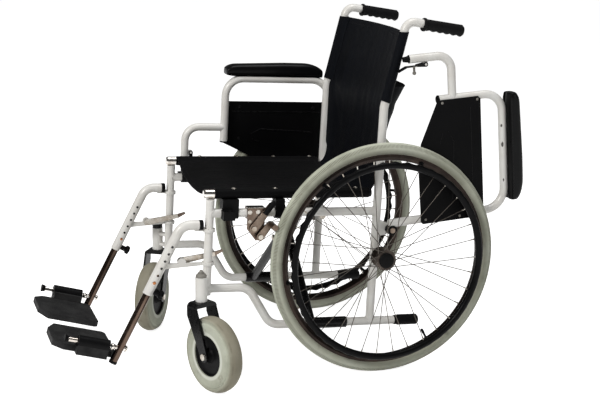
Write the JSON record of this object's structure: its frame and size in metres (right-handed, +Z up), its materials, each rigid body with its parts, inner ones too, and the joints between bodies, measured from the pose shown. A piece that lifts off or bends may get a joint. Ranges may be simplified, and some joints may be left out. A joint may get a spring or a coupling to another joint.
{
  "type": "manual wheelchair",
  "caption": "Folding manual wheelchair with tubular side frames, sling seat and back, spoked rear wheels with handrims, swivel casters, flip-back armrests and swing-away footrests.",
  "frame": {"origin": "on the floor, midway below the rear axle", "axes": "+X to the chair's left, -Y forward, +Z up"},
  "size_m": [0.7345, 1.2379, 0.9128],
  "materials": {
    "paint": "gloss enamel",
    "grip_rubber": "matte",
    "black_plastic": "satin",
    "pad_foam": "grained",
    "black_steel": "satin",
    "steel": "plated",
    "rim_steel": "satin",
    "chrome": "polished",
    "tyre_grey": "matte",
    "handrim_plastic": "satin",
    "cloth": "woven nylon"
  },
  "bodies": {
    "left_frame": {"back_post_left": "paint", "push_grip_left": "grip_rubber", "front_post_left": "paint", "seat_side_tube_left": "paint", "lower_side_tube_left": "paint", "tipping_tip_left": "grip_rubber", "seat_saddles_left": "black_plastic", "wheel_lock_bracket_left": "steel", "wheel_axle_left": "steel", "back_sling": "cloth"},
    "left_wheel": {"tyre_left": "tyre_grey", "rim_left": "rim_steel", "spokes_left": "chrome", "hub_left": "black_plastic", "handrim_left": "handrim_plastic"},
    "left_caster_fork": {"caster_fork_left": "black_steel"},
    "left_caster_wheel": {"caster_tyre_left": "tyre_grey", "caster_hub_left": "black_plastic"},
    "left_arm": {"arm_frame_left": "paint", "arm_pad_left": "pad_foam", "arm_panel_left": "black_plastic"},
    "left_arm_latch": {"arm_latch_left": "black_steel"},
    "left_lock_lever": {"wheel_lock_lever_left": "black_steel"},
    "left_lock_shoe": {"wheel_lock_shoe_left": "steel"},
    "left_hanger": {"footrest_hanger_left": "paint"},
    "left_hanger_latch": {"footrest_latch_left": "chrome"},
    "left_foot_leg": {"footrest_leg_left": "chrome"},
    "left_hinge_rod": {"hinge_rod_left": "chrome"},
    "left_footplate": {"footplate_left": "black_plastic"},
    "left_cross_bar": {"cross_bar_left": "black_steel"},
    "right_frame": {"back_post_right": "paint", "push_grip_right": "grip_rubber", "front_post_right": "paint", "seat_side_tube_right": "paint", "lower_side_tube_right": "paint", "tipping_tip_right": "grip_rubber", "seat_saddles_right": "black_plastic", "wheel_lock_bracket_right": "steel", "wheel_axle_right": "steel"},
    "right_wheel": {"tyre_right": "tyre_grey", "rim_right": "rim_steel", "spokes_right": "chrome", "hub_right": "black_plastic", "handrim_right": "handrim_plastic"},
    "right_caster_fork": {"caster_fork_right": "black_steel"},
    "right_caster_wheel": {"caster_tyre_right": "tyre_grey", "caster_hub_right": "black_plastic"},
    "right_arm": {"arm_frame_right": "paint", "arm_pad_right": "pad_foam", "arm_panel_right": "black_plastic"},
    "right_arm_latch": {"arm_latch_right": "black_steel"},
    "right_lock_lever": {"wheel_lock_lever_right": "black_steel"},
    "right_lock_shoe": {"wheel_lock_shoe_right": "steel"},
    "right_hanger": {"footrest_hanger_right": "paint"},
    "right_hanger_latch": {"footrest_latch_right": "chrome"},
    "right_foot_leg": {"footrest_leg_right": "chrome"},
    "right_hinge_rod": {"hinge_rod_right": "chrome"},
    "right_footplate": {"footplate_right": "black_plastic"},
    "right_cross_bar": {"cross_bar_right": "black_steel", "seat_sling": "cloth"}
  },
  "joints": [
    {"name": "fold", "type": "hinge", "parent": "left_frame", "child": "left_cross_bar", "pos_m": [0.227, -0.17579, 0.12738], "axis": [0, -0.9988, 0.0488], "range_deg": [-40, 0], "deforming": ["seat_sling", "back_sling"]},
    {"name": "fold_centre", "type": "hinge", "parent": "left_cross_bar", "child": "right_cross_bar", "pos_m": [0, -0.16725, 0.30198], "axis": [0, -0.9988, 0.0488], "range_deg": [0, 80]},
    {"name": "fold_right", "type": "hinge", "parent": "right_cross_bar", "child": "right_frame", "pos_m": [-0.227, -0.17579, 0.12738], "axis": [0, -0.9988, 0.0488], "range_deg": [-40, 0]},
    {"name": "wheel_spin_left", "type": "hinge", "parent": "left_frame", "child": "left_wheel", "pos_m": [0.283, 0, 0.303], "axis": [1, 0, 0], "continuous": true},
    {"name": "caster_swivel_left", "type": "hinge", "parent": "left_frame", "child": "left_caster_fork", "pos_m": [0.265, -0.47695, 0.25424], "axis": [0, 0, 1], "continuous": true},
    {"name": "caster_spin_left", "type": "hinge", "parent": "left_caster_fork", "child": "left_caster_wheel", "pos_m": [0.31287, -0.45663, 0.097], "axis": [0.3907, -0.9205, 0], "continuous": true},
    {"name": "arm_flip_left", "type": "hinge", "parent": "left_frame", "child": "left_arm", "pos_m": [0.251, 0.03229, 0.3695], "axis": [1, 0, 0], "range_deg": [0, 83]},
    {"name": "arm_latch_left", "type": "hinge", "parent": "left_arm", "child": "left_arm_latch", "pos_m": [0.251, 0.11315, 0.79757], "axis": [1, 0, 0], "range_deg": [0, 15]},
    {"name": "lock_lever_left", "type": "hinge", "parent": "left_frame", "child": "left_lock_lever", "pos_m": [0.246, -0.33588, 0.39552], "axis": [1, 0, 0], "range_deg": [0, 42]},
    {"name": "lock_shoe_left", "type": "hinge", "parent": "left_frame", "child": "left_lock_shoe", "pos_m": [0.253, -0.32088, 0.37476], "axis": [1, 0, 0], "range_deg": [0, 21]},
    {"name": "footrest_swing_left", "type": "hinge", "parent": "left_frame", "child": "left_hanger", "pos_m": [0.227, -0.45046, 0.32503], "axis": [0, 0.0488, 0.9988], "range_deg": [0, 90]},
    {"name": "footrest_latch_left", "type": "hinge", "parent": "left_hanger", "child": "left_hanger_latch", "pos_m": [0.2126, -0.51697, 0.31627], "axis": [1, 0, 0], "range_deg": [0, 12]},
    {"name": "footrest_slide_left", "type": "slide", "parent": "left_hanger", "child": "left_foot_leg", "axis": [0, 0.4664, 0.8846], "range_m": [0, 0.1]},
    {"name": "footplate_tuck_left", "type": "hinge", "parent": "left_foot_leg", "child": "left_hinge_rod", "pos_m": [0.227, -0.67676, 0.10706], "axis": [0, 0.9641, -0.2656], "range_deg": [0, 100]},
    {"name": "footplate_flip_left", "type": "hinge", "parent": "left_hinge_rod", "child": "left_footplate", "pos_m": [0.227, -0.67676, 0.10706], "axis": [0, 0.9641, -0.2656], "range_deg": [0, 90]},
    {"name": "wheel_spin_right", "type": "hinge", "parent": "right_frame", "child": "right_wheel", "pos_m": [-0.283, 0, 0.303], "axis": [1, 0, 0], "continuous": true},
    {"name": "caster_swivel_right", "type": "hinge", "parent": "right_frame", "child": "right_caster_fork", "pos_m": [-0.265, -0.47695, 0.25424], "axis": [0, 0, 1], "continuous": true},
    {"name": "caster_spin_right", "type": "hinge", "parent": "right_caster_fork", "child": "right_caster_wheel", "pos_m": [-0.22066, -0.50412, 0.097], "axis": [-0.5225, -0.8526, 0], "continuous": true},
    {"name": "arm_flip_right", "type": "hinge", "parent": "right_frame", "child": "right_arm", "pos_m": [-0.251, 0.03229, 0.3695], "axis": [1, 0, 0], "range_deg": [-83, 0]},
    {"name": "arm_latch_right", "type": "hinge", "parent": "right_arm", "child": "right_arm_latch", "pos_m": [-0.251, -0.38274, 0.50193], "axis": [1, 0, 0], "range_deg": [0, 15]},
    {"name": "lock_lever_right", "type": "hinge", "parent": "right_frame", "child": "right_lock_lever", "pos_m": [-0.246, -0.33588, 0.39552], "axis": [1, 0, 0], "range_deg": [0, 42]},
    {"name": "lock_shoe_right", "type": "hinge", "parent": "right_frame", "child": "right_lock_shoe", "pos_m": [-0.253, -0.32088, 0.37476], "axis": [1, 0, 0], "range_deg": [0, 21]},
    {"name": "footrest_swing_right", "type": "hinge", "parent": "right_frame", "child": "right_hanger", "pos_m": [-0.227, -0.45046, 0.32503], "axis": [0, -0.0488, -0.9988], "range_deg": [0, 90]},
    {"name": "footrest_latch_right", "type": "hinge", "parent": "right_hanger", "child": "right_hanger_latch", "pos_m": [-0.2126, -0.51697, 0.31627], "axis": [1, 0, 0], "range_deg": [0, 12]},
    {"name": "footrest_slide_right", "type": "slide", "parent": "right_hanger", "child": "right_foot_leg", "axis": [0, 0.4664, 0.8846], "range_m": [0, 0.1]},
    {"name": "footplate_tuck_right", "type": "hinge", "parent": "right_foot_leg", "child": "right_hinge_rod", "pos_m": [-0.227, -0.67676, 0.10706], "axis": [0, -0.9641, 0.2656], "range_deg": [0, 100]},
    {"name": "footplate_flip_right", "type": "hinge", "parent": "right_hinge_rod", "child": "right_footplate", "pos_m": [-0.227, -0.67676, 0.10706], "axis": [0, -0.9641, 0.2656], "range_deg": [0, 90]}
  ],
  "couplings": [
    {"joint": "fold_centre", "follows": "fold", "ratio": -2},
    {"joint": "fold_right", "follows": "fold", "ratio": 1},
    {"joint": "lock_shoe_left", "follows": "lock_lever_left", "ratio": 0.5},
    {"joint": "footplate_tuck_left", "follows": "fold", "ratio": -2.5},
    {"joint": "lock_shoe_right", "follows": "lock_lever_right", "ratio": 0.5},
    {"joint": "footplate_tuck_right", "follows": "fold", "ratio": -2.5}
  ]
}
